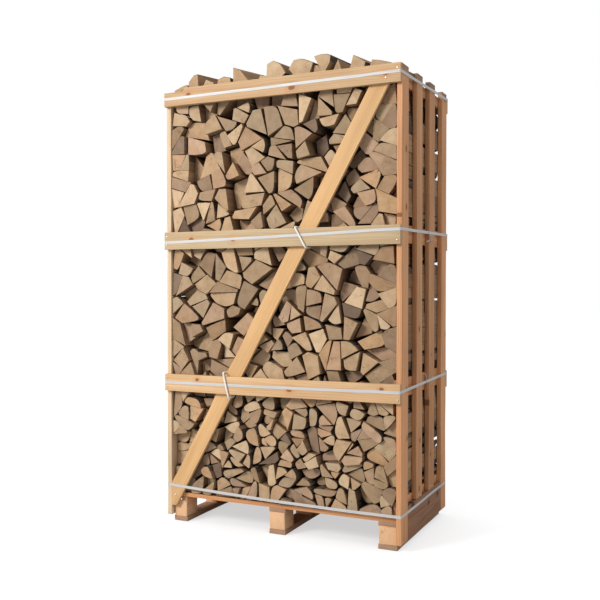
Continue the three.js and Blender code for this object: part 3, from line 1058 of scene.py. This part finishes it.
def buildStrap(node):
    corners = strapCorners(node)
    path = loopPath(corners, straps["cornerRadius"], straps["step"])
    seed = sum(map(ord, node))
    halfRun = max(corner.x for corner in corners)
    for index, point in enumerate(path):
        point.z += noise.noise(Vector((index * 0.21, seed, 0))) * straps["waver"]
        point.z -= straps["sag"].get(node, 0.0015) * max(0, 1 - (point.x / halfRun) ** 2)
    points, faces, places = sweepBand(path, straps["width"], straps["thickness"], Vector((0, 0, 1)))
    if node in straps["tails"]:
        right = (corners[1] + corners[2]) / 2
        start = Vector((right.x + 0.0012, 0, right.z))
        extra = sweepTail(start, straps["tails"][node])
        faces += [tuple(corner + len(points) for corner in face) for face in extra[1]]
        points += extra[0]
        places += extra[2]
    mesh = cleanMesh(node + "_band", points, faces)
    setAttribute(mesh, "place", "FLOAT_VECTOR", "POINT", places)
    mesh.materials.append(strapping)
    showPiece(node + "_band", mesh, (node,))


for node in [name for name in frame["nodes"] if name.startswith("strap_")]:
    buildStrap(node)


ties = {"strand": 0.0024, "strands": 3, "turns": 16, "corner": 0.007}


def buildTie(node):
    points = np.array([v.co[:] for v in frame["nodes"][node].data.vertices])
    low, high = points.min(axis=0), points.max(axis=0)
    front = points[points[:, 1] < low[1] + 0.001]
    top, bottom = front[front[:, 2].argmax()], front[front[:, 2].argmin()]
    lean = Vector(bottom - top)
    lean.y = 0
    lean.normalize()
    centre = Vector((low + high) / 2)
    halfLong = (Vector((top[0], 0, top[2])) - Vector((bottom[0], 0, bottom[2]))).length / 2 - 0.0016
    halfDeep = (high[1] - low[1]) / 2 + 0.0022
    corners = [
        centre + lean * halfLong * a + Vector((0, halfDeep * b, 0))
        for a, b in ((-1, -1), (1, -1), (1, 1), (-1, 1))
    ]
    path = loopPath(corners, ties["corner"], 0.006)
    count = len(path)
    sideways = lean.cross(Vector((0, 1, 0))).normalized()
    allPoints, faces, places = [], [], []
    ringSize = 6
    for strand in range(ties["strands"]):
        start = len(allPoints)
        for index, here in enumerate(path):
            along = (path[(index + 1) % count] - path[index - 1]).normalized()
            out = along.cross(sideways).normalized()
            angle = math.tau * (strand / ties["strands"] + ties["turns"] * index / count)
            middle = here + (out * math.cos(angle) + sideways * math.sin(angle)) * ties["strand"] * 0.85
            for part in range(ringSize):
                turn = math.tau * part / ringSize
                allPoints.append(middle + (out * math.cos(turn) + sideways * math.sin(turn)) * ties["strand"])
                places.append(allPoints[-1][:])
        for index in range(count):
            ring, following = start + index * ringSize, start + ((index + 1) % count) * ringSize
            for part in range(ringSize):
                nextPart = (part + 1) % ringSize
                faces.append((ring + part, following + part, following + nextPart, ring + nextPart))
    mesh = cleanMesh(node + "_twine", allPoints, faces, 1.5)
    setAttribute(mesh, "place", "FLOAT_VECTOR", "POINT", places)
    mesh.materials.append(twine)
    showPiece(node + "_twine", mesh, (node,))


for node in [name for name in frame["nodes"] if name.startswith("brace_tie")]:
    buildTie(node)
print("straps and ties ready")


# ---------- split logs ----------

logs = {
    "seeds": {"front": 11, "back": 23},
    "acrossLow": 0.066,      # across one log in the bottom third
    "acrossHigh": 0.086,     # and above it
    "changeAt": 0.64,        # height where the smaller logs give way
    "clusterGrow": 1.75,     # a cluster is later split into a few logs
    "fill": (0.80, 0.965),   # how much of its place a log fills before the pile settles
    "fillSmall": (0.79, 0.97),
    "turn": 14.0,            # degrees
    "gap": (0.0008, 0.0042),  # how far a log's skin stays back from its place
    "sinkSteps": 140,
    "settleSteps": 290,      # with the steps after the sinking
    "sink": 0.078,           # how much lower the pile ends
    "widen": 0.034,          # how far it leans out against the sides
    "endJitter": 0.005,
    "recessShare": 0.18,
    "leaveOut": 0.40,        # share of the thinnest splits left out, which leaves dark holes
    "thin": (0.0008, 0.0023),  # square metres, in the bottom third and above it
    "barkShare": 0.6,
    "sideFrom": 0.42,        # from the middle, where the logs sit tight against the sides
    "sideGap": (0.3, 0.0007),  # there: share of the gap kept, and what is taken off it
    "heapYaw": 16.0,         # degrees, for the loose logs on top
}


def clipSide(shape, point, normal):
    kept = []
    count = len(shape)
    for index in range(count):
        here, after = shape[index], shape[(index + 1) % count]
        a = (here[0] - point[0]) * normal[0] + (here[1] - point[1]) * normal[1]
        b = (after[0] - point[0]) * normal[0] + (after[1] - point[1]) * normal[1]
        if a <= 0:
            kept.append(here)
        if (a < 0 < b) or (b < 0 < a):
            t = a / (a - b)
            kept.append((here[0] + (after[0] - here[0]) * t, here[1] + (after[1] - here[1]) * t))
    return kept


def areaOf(shape):
    return sum(a[0] * b[1] - b[0] * a[1] for a, b in zip(shape, shape[1:] + shape[:1])) / 2


def centreOf(shape):
    area = cx = cz = 0
    for (x0, z0), (x1, z1) in zip(shape, shape[1:] + shape[:1]):
        cross = x0 * z1 - x1 * z0
        area += cross
        cx += (x0 + x1) * cross
        cz += (z0 + z1) * cross
    return cx / (3 * area), cz / (3 * area)


def sizeAt(z):
    blend = min(1.0, max(0.0, (z - logs["changeAt"] + 0.1) / 0.2))
    return logs["acrossLow"] + (logs["acrossHigh"] - logs["acrossLow"]) * blend


def clusterCells(rng, left, right, bottom, top):
    spots = []
    for _ in range(9000):
        x, z = rng.uniform(left, right), rng.uniform(bottom, top)
        reach = sizeAt(z) * logs["clusterGrow"] * 0.78
        if all((x - a) ** 2 + (z - b) ** 2 > reach**2 for a, b in spots):
            spots.append((x, z))
    cells = []
    for x, z in spots:
        near = sorted(spots, key=lambda s: (s[0] - x) ** 2 + (s[1] - z) ** 2)[1:22]
        shape = [(left, bottom), (right, bottom), (right, top), (left, top)]
        for a, b in near:
            shape = clipSide(shape, ((a + x) / 2, (b + z) / 2), (a - x, b - z))
        if len(shape) > 2:
            cells.append(shape)
    return cells


def longWay(shape):
    cx, cz = centreOf(shape)
    xx = sum((x - cx) ** 2 for x, z in shape)
    zz = sum((z - cz) ** 2 for x, z in shape)
    xz = sum((x - cx) * (z - cz) for x, z in shape)
    return 0.5 * math.atan2(2 * xz, xx - zz)


def splitCluster(rng, shape, depth=0):
    cx, cz = centreOf(shape)
    goal = sizeAt(cz) ** 2 * 0.86
    if depth > 3 or areaOf(shape) < goal * rng.uniform(0.9, 1.8):
        return [shape]
    angle = longWay(shape) + rng.gauss(0, 0.42)
    normal = (math.cos(angle), math.sin(angle))
    wander = sizeAt(cz) * 0.22
    point = (cx + rng.uniform(-wander, wander), cz + rng.uniform(-wander, wander))
    found = []
    for side in (normal, (-normal[0], -normal[1])):
        half = clipSide(shape, point, side)
        if len(half) >= 3 and areaOf(half) > 2e-4:
            found += splitCluster(rng, half, depth + 1)
    return found


def tidyCorners(shape, least=0.012):
    kept = []
    for point in shape:
        if not kept or math.dist(point, kept[-1]) > least:
            kept.append(point)
    if len(kept) > 3 and math.dist(kept[0], kept[-1]) < least:
        kept.pop()
    return kept if len(kept) >= 3 else shape


def cornerAngle(shape, index):
    here, before, after = shape[index], shape[index - 1], shape[(index + 1) % len(shape)]
    a = math.atan2(before[1] - here[1], before[0] - here[0])
    b = math.atan2(after[1] - here[1], after[0] - here[0])
    return abs((a - b + math.pi) % math.tau - math.pi)


def between(a, b, t):
    return a[0] + (b[0] - a[0]) * t, a[1] + (b[1] - a[1]) * t


# turns a cell into a log outline: x, z, whether the side that starts here is bark, and whether
# the point is needed to hold the shape; also gives the heart of the tree
def logOutline(rng, shape, small):
    shape = tidyCorners(shape)
    count = len(shape)
    sharp = min(range(count), key=lambda i: cornerAngle(shape, i))
    shape = shape[sharp:] + shape[:sharp]
    heart = shape[0]
    outline = []

    def straight(a, b, bark=False):
        pieces = max(1, round(math.dist(a, b) / 0.018))
        for part in range(pieces):
            outline.append((*between(a, b, part / pieces), bark, part == 0))

    def curve(a, control, b, pieces=6):
        for part in range(pieces):
            t = part / pieces
            point = between(between(a, control, t), between(control, b, t), t)
            outline.append((*point, True, part % 2 == 0))

    if rng.random() > (0.85 if small else logs["barkShare"]):
        for a, b in zip(shape, shape[1:] + shape[:1]):
            straight(a, b)
        away = rng.uniform(0, math.tau)
        size = math.sqrt(abs(areaOf(shape)))
        cx, cz = centreOf(shape)
        return outline, (cx + math.cos(away) * size, cz + math.sin(away) * size)
    if count == 3:
        a, b = between(heart, shape[1], 0.84), between(heart, shape[2], 0.84)
        middle = ((shape[1][0] + shape[2][0]) / 2, (shape[1][1] + shape[2][1]) / 2)
        straight(heart, a)
        curve(a, between(heart, middle, 1.12), b)
        straight(b, heart)
        return outline, heart
    far = count // 2
    rounded = {far} if count == 4 or rng.random() < 0.4 else {far, far + 1 if far + 1 < count else far - 1}
    if small and rng.random() < 0.5:
        rounded = set(range(1, count))
    bite = rng.uniform(0.36, 0.49)
    for index in range(count):
        here, after = shape[index], shape[(index + 1) % count]
        nextRound = (index + 1) % count in rounded
        start = between(here, after, bite) if index in rounded else here
        end = between(after, here, bite) if nextRound else after
        if index in rounded:
            curve(between(here, shape[index - 1], bite), here, start)
        if math.dist(start, end) > 0.003:
            straight(start, end, index in rounded and nextRound)
    return outline, centreOf(shape) if len(rounded) > 2 else heart


# lets a loose pile of flat shapes sink between two walls until they rest on one another
def settlePile(shapes, bottom, wallAt):
    count, most = len(shapes), max(map(len, shapes))
    local = np.array([shape + [shape[-1]] * (most - len(shape)) for shape in shapes])
    place = np.array([centreOf(shape) for shape in shapes])
    local -= place[:, None]
    angle = np.zeros(count)
    mass = np.array([areaOf(shape) for shape in shapes])
    reach = np.sqrt((local**2).sum(2)).max(1)
    inertia = mass * reach**2 * 0.35
    following = np.roll(local, -1, axis=1)
    blank = np.sqrt(((following - local) ** 2).sum(2)) < 1e-6

    def corners():
        c, s = np.cos(angle)[:, None], np.sin(angle)[:, None]
        turned = np.stack(
            [local[..., 0] * c - local[..., 1] * s, local[..., 0] * s + local[..., 1] * c], axis=2
        )
        return turned + place[:, None]

    def normals(points):
        edge = np.roll(points, -1, axis=1) - points
        length = np.maximum(np.sqrt((edge**2).sum(2, keepdims=True)), 1e-9)
        return np.stack([edge[..., 1], -edge[..., 0]], axis=2) / length

    drop = logs["sink"] / logs["sinkSteps"]
    for step in range(logs["settleSteps"]):
        if step < logs["sinkSteps"]:
            place[:, 1] -= drop * (place[:, 1] - bottom)
            place[:, 0] *= 1 + logs["widen"] / logs["sinkSteps"]
        if step % 6 == 0:
            gap = np.sqrt(((place[:, None] - place[None]) ** 2).sum(2))
            first, second = np.nonzero(np.triu(gap < reach[:, None] + reach[None] + 0.004, 1))
        points = corners()
        out = normals(points)
        a, b, na, nb = points[first], points[second], out[first], out[second]
        fromA = np.einsum("pkc,plc->pkl", na, b).min(2) - (na * a).sum(2)
        fromB = np.einsum("pkc,plc->pkl", nb, a).min(2) - (nb * b).sum(2)
        fromA[blank[first]] = -9
        fromB[blank[second]] = -9
        bestA, bestB = fromA.argmax(1), fromB.argmax(1)
        rows = np.arange(len(first))
        apartA, apartB = fromA[rows, bestA], fromB[rows, bestB]
        useA = apartA > apartB
        apart = np.where(useA, apartA, apartB)
        touching = apart < 0
        move, spin, hits = np.zeros((count, 2)), np.zeros(count), np.zeros(count)
        if touching.any():
            rows, useA = rows[touching], useA[touching]
            # from first to second
            push = np.where(useA[:, None], na[rows, bestA[rows]], -nb[rows, bestB[rows]])
            resting = np.where(useA[:, None, None], b[rows], a[rows])
            along = (resting * push[:, None]).sum(2) * np.where(useA, 1, -1)[:, None]
            weight = np.exp(-(along - along.min(1, keepdims=True)) / 0.0015)
            contact = (resting * weight[..., None]).sum(1) / weight.sum(1)[:, None]
            one, two, depth = first[rows], second[rows], -apart[rows]
            levers = []
            for body in (one, two):
                arm = contact - place[body]
                levers.append(arm[:, 0] * push[:, 1] - arm[:, 1] * push[:, 0])
            ease = (
                1 / mass[one] + levers[0] ** 2 / inertia[one]
                + 1 / mass[two] + levers[1] ** 2 / inertia[two]
            )
            force = depth / ease
            for body, lever, sign in ((one, levers[0], -1), (two, levers[1], 1)):
                np.add.at(move, body, push * (sign * force / mass[body])[:, None])
                np.add.at(spin, body, sign * lever * force / inertia[body])
                np.add.at(hits, body, 1)
        wall = wallAt(points[..., 1])
        for over, push in (
            (points[..., 0] - wall, (-1.0, 0.0)),
            (-points[..., 0] - wall, (1.0, 0.0)),
            (bottom - points[..., 1], (0.0, 1.0)),
        ):
            worst = over.argmax(1)
            depth = over[np.arange(count), worst]
            body = np.nonzero(depth > 0)[0]
            if len(body):
                arm = points[body, worst[body]] - place[body]
                lever = arm[:, 0] * push[1] - arm[:, 1] * push[0]
                force = depth[body] / (1 / mass[body] + lever**2 / inertia[body])
                move[body] += np.array(push) * (force / mass[body])[:, None]
                spin[body] += lever * force / inertia[body]
                hits[body] += 1
        share = 1.35 / np.maximum(hits, 1.35)
        place += move * share[:, None]
        angle += np.clip(spin * share, -0.08, 0.08)
    return place, angle


railZones = [
    (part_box(f"right_side_rail_{name}")[0][2] - 0.002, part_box(f"right_side_rail_{name}")[1][2] + 0.002)
    for name in ("base", "lower", "upper", "top")
]
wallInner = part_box("right_side_rail_top")[0][0] - 0.001
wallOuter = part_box("right_slat_front")[0][0] - 0.0015


# the side rails stand proud of the uprights, so the logs come further out between them
def wallAt(heights):
    limit = np.full(heights.shape, wallOuter)
    for bottom, top in railZones:
        limit[(heights > bottom) & (heights < top)] = wallInner
    return limit


def logMesh(rng, outline, heart, nearY, farY, loose, row, store):
    count = len(outline)
    cx = sum(p[0] for p in outline) / count
    cz = sum(p[1] for p in outline) / count
    twist = math.radians(rng.gauss(0, 1.2))
    tilts = [(rng.gauss(0, 0.06), rng.gauss(0, 0.06)) for end in range(2)]
    drift = (rng.gauss(0, 0.004), rng.gauss(0, 0.004))
    if loose:
        drift = (math.tan(math.radians(loose[0])), loose[1])
    anchor = 0.0 if row == "front" else 1.0
    gap = rng.uniform(*logs["gap"])
    tone, level = rng.random(), rng.random()
    if cz < logs["changeAt"]:  # the small logs sit closer, and get a painted lift in brightness for the weaker light low in the pile
        gap, level = gap * 0.6, 0.18 + 0.9 * level
    if abs(cx) > logs["sideFrom"]:  # tight against the sides
        gap = gap * logs["sideGap"][0] - logs["sideGap"][1]
    if loose:  # clean pale wood on top, also painted brighter as if lit from above
        tone, level = 0.5 * tone, 0.75 + 0.25 * level
    start = len(store["points"])
    grainShift = rng.uniform(0, 50)
    length = farY - nearY
    lip = 0.0016 / length
    reach = max(math.dist(p[:2], (cx, cz)) for p in outline)
    for t, inset in ((0, 0.0013), (lip, 0), (0.05, 0), (0.5, 0), (0.95, 0), (1 - lip, 0), (1, 0.0013)):
        angle = twist * (t - anchor)
        c, s = math.cos(angle), math.sin(angle)
        shrink = 1 - (gap + inset) / reach
        for x, z, bark, firm in outline:
            rim = shrink - 1.5 * inset / reach if bark else shrink  # shows the bark's edge
            dx, dz = (x - cx) * rim, (z - cz) * rim
            ripple = noise.noise(Vector((x * 26 + grainShift, (nearY + length * t) * 7, z * 26)))
            deep = 0.0012 if bark else 0.0022
            ease = 1 - deep * max(0, ripple) / reach if 0.02 < t < 0.98 else 1 + 0.001 * ripple / reach
            dx, dz = dx * ease, dz * ease
            tilt = tilts[0] if t < 0.5 else tilts[1]
            along = (t - anchor) * length
            px = cx + dx * c - dz * s + drift[0] * along
            pz = cz + dx * s + dz * c + drift[1] * abs(along)
            py = nearY + length * t + (tilt[0] * dx + tilt[1] * dz if abs(t - 0.5) > 0.46 else 0)
            store["points"].append((px, py, pz))
            store["places"].append((x - heart[0], nearY + length * t + grainShift, z - heart[1]))
            store["tones"].append(tone)
            store["levels"].append(level)
    rings = 7
    for ring in range(rings - 1):
        for index in range(count):
            following = (index + 1) % count
            a, b = start + ring * count + index, start + ring * count + following
            store["faces"].append((a, a + count, b + count, b))
            store["kinds"].append(2 if outline[index][2] else 0 if ring in (0, rings - 2) else 1)
    store["faces"].append(tuple(start + index for index in range(count)))
    store["kinds"].append(0)
    last = start + (rings - 1) * count
    store["faces"].append(tuple(last + index for index in reversed(range(count))))
    store["kinds"].append(0)


def nearBrace(outline, row):
    side = 1 if row == "front" else -1
    return any(abs(p[0] - side * (-0.514 + (p[1] - 0.177) * 0.561)) < 0.064 for p in outline)


def rowOutlines(rng, row):
    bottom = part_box(f"logs_{row}_lower")[0][2] + 0.001
    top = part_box(f"logs_{row}_heap")[1][2] * 1.1
    outlines = []
    for cluster in clusterCells(rng, -wallOuter, wallOuter, bottom, top):
        for cell in splitCluster(rng, cluster):
            cx, cz = centreOf(cell)
            small = cz < logs["changeAt"]
            outline, heart = logOutline(rng, cell, small)
            fill = rng.uniform(*logs["fillSmall" if small else "fill"])
            turn = math.radians(rng.uniform(-1, 1) * logs["turn"])
            c, s = math.cos(turn) * fill, math.sin(turn) * fill

            def placed(x, z):
                return cx + (x - cx) * c - (z - cz) * s, cz + (x - cx) * s + (z - cz) * c

            outlines.append(([(*placed(x, z), bark, firm) for x, z, bark, firm in outline], placed(*heart)))
    places, angles = settlePile(
        [[p[:2] for p in outline if p[3]] for outline, heart in outlines], bottom, wallAt
    )
    settled = []
    for (outline, heart), place, angle in zip(outlines, places, angles):
        cx, cz = centreOf([p[:2] for p in outline if p[3]])
        c, s = math.cos(angle), math.sin(angle)

        def moved(x, z):
            return place[0] + (x - cx) * c - (z - cz) * s, place[1] + (x - cx) * s + (z - cz) * c

        settled.append(([(*moved(x, z), bark, firm) for x, z, bark, firm in outline], moved(*heart)))
    return settled


# the loose logs on top of the front row: corners as x and height, which corners have bark after them,
# degrees turned, how far back they lie, and length
looseLogs = {
    "bedHeight": 2.048,
    "shapes": [
        (
            [(-0.478, 2.0), (-0.415, 2.0), (-0.424, 2.087), (-0.448, 2.083), (-0.474, 2.057)], (2, 3), 17,
            0.004, 0.27
        ),
        ([(-0.405, 1.995), (-0.333, 1.995), (-0.338, 2.043), (-0.376, 2.057)], (2,), 5, 0.0, 0.29),
        (
            [(-0.333, 2.0), (-0.243, 2.0), (-0.249, 2.056), (-0.286, 2.066), (-0.319, 2.055)], (1, 2, 3), 4,
            0.008, 0.28
        ),
        (
            [(-0.236, 1.992), (-0.160, 2.0), (-0.155, 2.03), (-0.192, 2.078), (-0.228, 2.096)], (), 18, 0.0,
            0.26
        ),
        ([(-0.128, 1.99), (-0.055, 1.99), (-0.056, 2.043), (-0.101, 2.052)], (2,), -6, 0.012, 0.28),
        (
            [
                (-0.066, 2.016), (-0.014, 2.006), (0.034, 2.043), (0.006, 2.086), (-0.030, 2.106),
                (-0.061, 2.093)
            ],
            (1,), 10, 0.0, 0.29
        ),
        (
            [
                (0.042, 2.058), (0.092, 1.998), (0.139, 2.006), (0.164, 2.078), (0.122, 2.096),
                (0.097, 2.101), (0.067, 2.098)
            ],
            (0, 3, 4), 9, 0.004, 0.28
        ),
        (
            [
                (0.214, 2.012), (0.246, 2.070), (0.250, 2.100), (0.229, 2.107), (0.195, 2.108),
                (0.166, 2.101)
            ],
            (1, 2, 3), 8, 0.0, 0.29
        ),
        (
            [(0.146, 1.995), (0.210, 1.998), (0.196, 2.044), (0.180, 2.066), (0.163, 2.068)], (), -4, 0.018,
            0.26
        ),
        ([(0.226, 1.99), (0.304, 1.99), (0.276, 2.082)], (), 6, 0.022, 0.26),
        ([(0.306, 1.99), (0.345, 1.985), (0.338, 2.031), (0.318, 2.030)], (1,), 0, 0.01, 0.28),
        ([(0.326, 1.995), (0.398, 1.992), (0.407, 2.052), (0.352, 2.088)], (1,), 12, 0.0, 0.28),
        (
            [(0.408, 1.992), (0.506, 1.99), (0.516, 2.038), (0.468, 2.052), (0.433, 2.058)], (2, 3), 7,
            0.01, 0.29
        ),
        ([(-0.532, 1.985), (-0.484, 1.985), (-0.482, 2.02), (-0.515, 2.036)], (1,), 3, 0.006, 0.28),
    ],
}


def looseOutline(shape, bark):
    outline = []
    for index, (here, after) in enumerate(zip(shape, shape[1:] + shape[:1])):
        pieces = max(1, round(math.dist(here, after) / 0.016))
        for part in range(pieces):
            outline.append((*between(here, after, part / pieces), index in bark, part == 0))
    return outline, shape[0]


def crestOf(row):
    heap = frame["nodes"][f"logs_{row}_heap"].data
    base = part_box(f"logs_{row}_heap")[0][2]
    crest = sorted({(round(v.co.x, 4), round(v.co.z, 4)) for v in heap.vertices if v.co.z > base + 0.01})
    return [p[0] for p in crest], [p[1] for p in crest]


def buildRow(row):
    rng = random.Random(logs["seeds"][row])
    crestX, crestZ = crestOf(row)
    tiers = ["lower", "middle", "upper", "heap"]
    limits = [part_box(f"logs_{row}_{tier}")[1][2] for tier in tiers[:3]]
    storeKeys = ("points", "places", "tones", "levels", "faces", "kinds")
    stores = {tier: {key: [] for key in storeKeys} for tier in tiers}
    low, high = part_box(f"logs_{row}_lower")
    total = 0
    for outline, heart in rowOutlines(rng, row):
        cx = sum(p[0] for p in outline) / len(outline)
        cz = sum(p[1] for p in outline) / len(outline)
        highest = max(p[1] for p in outline)
        if highest > (looseLogs["bedHeight"] if row == "front" else np.interp(cx, crestX, crestZ) + 0.006):
            continue
        thin = logs["thin"][cz > logs["changeAt"]]
        inner = abs(cx) < logs["sideFrom"]
        if inner and abs(areaOf([p[:2] for p in outline])) < thin and rng.random() < logs["leaveOut"]:
            continue
        outside = rng.gauss(0.002, logs["endJitter"])
        if nearBrace(outline, row):
            outside = max(-0.0035, outside) + rng.uniform(0, 0.024)
        elif abs(cx) > 0.47:
            outside = rng.uniform(-0.018, -0.013)
        else:
            outside = max(-0.018, outside - rng.uniform(0, 0.016))
        if rng.random() < logs["recessShare"]:
            outside += rng.uniform(0.012, 0.065)
        meeting = 0.016 * noise.noise(Vector((cx * 4.3, cz * 4.3, 2.5)))  # where the two rows touch, y
        inside = rng.uniform(0.0004, 0.003)
        loose = cz > railZones[-1][1] - 0.03
        if loose:
            outside += rng.uniform(0, 0.03)
            inside += 0.02
        if row == "front":
            nearY, farY = low[1] + outside, meeting - inside
        else:
            nearY, farY = meeting + inside, high[1] - outside
        tier = next((name for name, limit in zip(tiers, limits) if cz < limit), "heap")
        yaw, pitch = rng.uniform(-1, 1) * logs["heapYaw"], rng.uniform(-0.1, 0.03)
        if abs(cx) > 0.36:  # the ends of the heap turn inwards, clear of the uprights
            yaw = math.copysign(yaw, -cx if row == "front" else cx)
        logMesh(rng, outline, heart, nearY, farY, (yaw, pitch) if loose else None, row, stores[tier])
        total += 1
    if row == "front":
        for shape, bark, yaw, back, length in looseLogs["shapes"]:
            outline, heart = looseOutline(shape, bark)
            nearY = low[1] + back
            logMesh(rng, outline, heart, nearY, nearY + length, (yaw, 0.0), row, stores["heap"])
            total += 1
    for tier, store in stores.items():
        mesh = bpy.data.meshes.new(f"logs_{row}_{tier}")
        mesh.from_pydata(store["points"], [], store["faces"])
        for material in logMaterials:
            mesh.materials.append(material)
        mesh.polygons.foreach_set("material_index", store["kinds"])
        mesh.polygons.foreach_set("use_smooth", [False] * len(store["faces"]))
        setAttribute(mesh, "place", "FLOAT_VECTOR", "POINT", store["places"])
        setAttribute(mesh, "tone", "FLOAT", "POINT", store["tones"])
        setAttribute(mesh, "level", "FLOAT", "POINT", store["levels"])
        node = f"logs_{row}_{tier}"
        showPiece(f"splitLogs_{row}_{tier}", mesh, (node,))
    print(row, "row:", total, "logs")


for row in ("front", "back"):
    buildRow(row)
